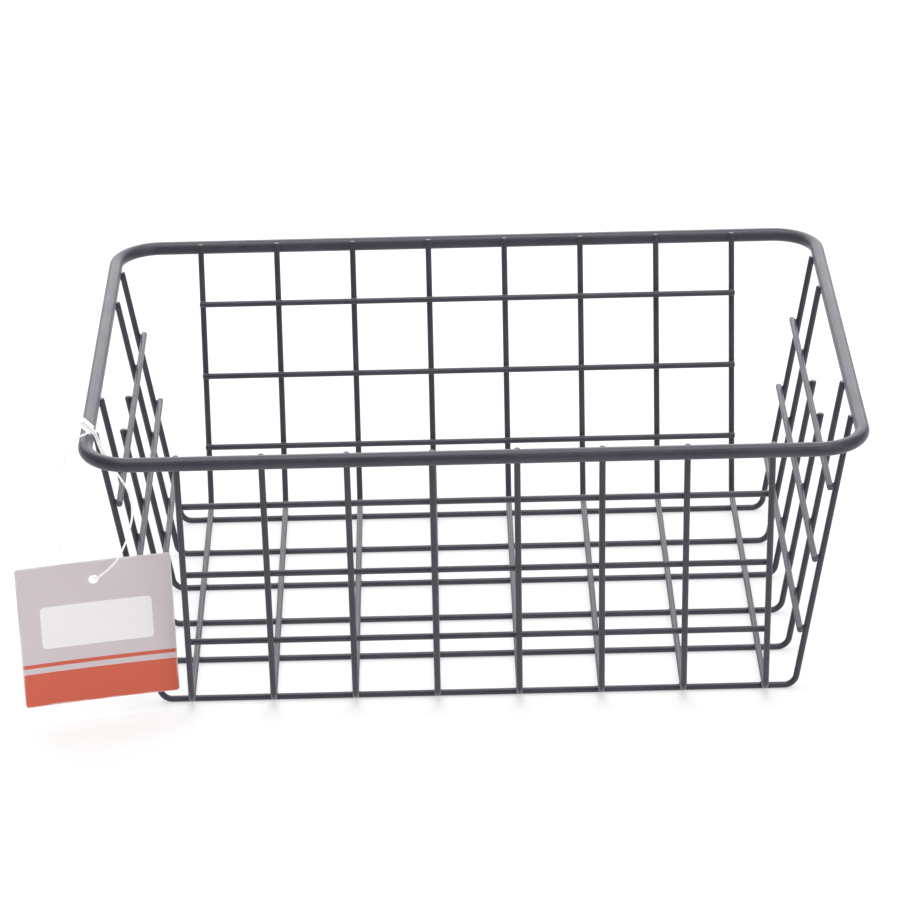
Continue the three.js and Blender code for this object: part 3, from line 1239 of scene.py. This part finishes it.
class BASKET_OT_tag_loop(Operator):
    """Thread the nylon loop from the lock through the card's hole and back"""

    bl_idname = "basket.tag_loop"
    bl_label = "Tag loop"

    def execute(self, context):
        tag = context.scene.basket_tag
        route = self.route(tag)
        line = bpy.data.curves.new("nylon_loop", "CURVE")
        line.dimensions = "3D"
        line.resolution_u = 8
        line.bevel_depth = tag.cord / 2
        line.bevel_resolution = 4
        line.use_fill_caps = True
        spline = line.splines.new("BEZIER")
        spline.bezier_points.add(len(route) - 1)
        for point, place in zip(spline.bezier_points, route):
            point.co = place
            point.handle_left_type = "AUTO"
            point.handle_right_type = "AUTO"
        for point in spline.bezier_points[:tag.neck_points]:
            point.radius = tag.neck / tag.cord
        loop = add_object("nylon_loop", line, NYLON)
        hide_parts("tag_loop")
        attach(loop, "tag")
        return {"FINISHED"}

    def route(self, tag):
        """Points from inside the lock's socket through the hole to inside the head's front."""
        head = lock_centre(tag)
        length, width = tag.lock_head[:2]
        axis = head - lock_away(tag) * tag.socket_drop
        mouth = length / 2 + tag.lock_socket[0]
        bearing = Vector(tag.hole_offset) + Z * ((tag.hole - tag.cord) / 2 - tag.lock_gap)
        offsets = [
            axis + lock_axis(tag) * (mouth - tag.neck),
            axis + lock_axis(tag) * (mouth - tag.lock_gap),
            *(Vector(point) for point in LOOP_INNER_STRAND),
            bearing,
            *(Vector(point) for point in LOOP_OUTER_STRAND),
            head + lock_axis(tag) * tag.lock_entry - Y * (width / 2 - tag.lock_gap),
        ]
        return [HANG + offset for offset in offsets]


class BASKET_OT_stage(Operator):
    """Set the floor, the soft light and the camera"""

    bl_idname = "basket.stage"
    bl_label = "Stage"

    def execute(self, context):
        stage = context.scene.basket_stage
        context.scene.view_settings.view_transform = "Standard"
        self.camera(context.scene, stage)
        self.floor(stage)
        self.world(context.scene, stage)
        for name, power, place, size in LAMPS:
            self.lamp(context.scene, name, place, size, getattr(stage, power))
        return {"FINISHED"}

    def camera(self, scene, stage):
        """A camera turned by its yaw, then its pitch, then its roll."""
        yaw, pitch, roll = stage.camera_yaw, stage.camera_pitch, stage.camera_roll
        right = Vector((math.cos(yaw), math.sin(yaw), 0))
        look = Z.cross(right) * math.cos(pitch) - Z * math.sin(pitch)
        up = right.cross(look)
        across = right * math.cos(roll) + up * math.sin(roll)
        upward = up * math.cos(roll) - right * math.sin(roll)
        camera = bpy.data.objects.new("camera", bpy.data.cameras.new("camera"))
        scene.collection.objects.link(camera)
        camera.data.lens = stage.camera_lens
        camera.data.clip_start = 0.01
        turn = Matrix((across, upward, -look)).transposed().to_4x4()
        camera.matrix_world = Matrix.Translation(stage.camera_place) @ turn
        scene.camera = camera

    def floor(self, stage):
        """A round floor, which is not part of the basket."""
        shape = bmesh.new()
        bmesh.ops.create_circle(shape, cap_ends=True, segments=FLOOR_SIDES, radius=stage.floor_radius)
        add_mesh("studio_floor", shape, FLOOR)

    def world(self, scene, stage):
        """Soft light from all sides, seen as plain white in the picture and through the nylon."""
        scene.world = bpy.data.worlds.new("studio")
        graph = Graph(scene.world)
        soft = graph.node("ShaderNodeBackground", inputs={"Color": WHITE, "Strength": stage.ambient})
        white = graph.node("ShaderNodeBackground", inputs={"Color": WHITE, "Strength": 1.0})
        path = graph.node("ShaderNodeLightPath", output="Is Camera Ray")
        seen = (path + path["Is Transmission Ray"]).clamped()
        shader = graph.node("ShaderNodeMixShader", inputs={0: seen, 1: soft, 2: white})
        graph.feed(graph.tree.nodes["World Output"].inputs["Surface"], shader)

    def lamp(self, scene, name, place, size, power):
        """A flat soft light that faces the basket."""
        data = bpy.data.lights.new(name, "AREA")
        data.shape = "RECTANGLE"
        data.size, data.size_y = size
        data.energy = power
        lamp = bpy.data.objects.new(name, data)
        scene.collection.objects.link(lamp)
        lamp.location = place
        lamp.rotation_euler = (-Vector(place)).to_track_quat("-Z", "Y").to_euler()


OPERATORS = (
    BASKET_OT_stage,
    BASKET_OT_swing_tag,
    BASKET_OT_loop_lock,
    BASKET_OT_tag_loop,
    BASKET_OT_rim_wire,
    BASKET_OT_cross_wires,
    BASKET_OT_long_wires,
    BASKET_OT_wall_rails,
    BASKET_OT_welds,
)


class BASKET_PT_sidebar(Panel):
    """Sizes, finishes and makers of the basket's pieces"""

    bl_idname = "BASKET_PT_sidebar"
    bl_label = "Wire basket"
    bl_space_type = "VIEW_3D"
    bl_region_type = "UI"
    bl_category = "Basket"

    def draw(self, context):
        for name in SETTINGS:
            box = self.layout.box()
            settings = getattr(context.scene, name)
            for key in settings.bl_rna.properties.keys():
                if key not in ("name", "rna_type"):
                    box.prop(settings, key)
        for operator in OPERATORS:
            self.layout.operator(operator.bl_idname)


SETTINGS = {
    "basket_stage": StageSettings,
    "basket_wires": WireSettings,
    "basket_coat": CoatSettings,
    "basket_tag": TagSettings,
}


def register():
    for name, group in SETTINGS.items():
        bpy.utils.register_class(group)
        setattr(bpy.types.Scene, name, PointerProperty(type=group))
    for item in (*OPERATORS, BASKET_PT_sidebar):
        bpy.utils.register_class(item)


def unregister():
    for item in (BASKET_PT_sidebar, *reversed(OPERATORS)):
        bpy.utils.unregister_class(item)
    for name, group in SETTINGS.items():
        delattr(bpy.types.Scene, name)
        bpy.utils.unregister_class(group)


def main():
    """Makes every piece in order."""
    register()
    bpy.ops.basket.stage()
    bpy.ops.basket.swing_tag()
    bpy.ops.basket.loop_lock()
    bpy.ops.basket.tag_loop()
    bpy.ops.basket.rim_wire()
    bpy.ops.basket.cross_wires()
    bpy.ops.basket.long_wires()
    bpy.ops.basket.wall_rails()
    bpy.ops.basket.welds()


if __name__ == "__main__":
    main()
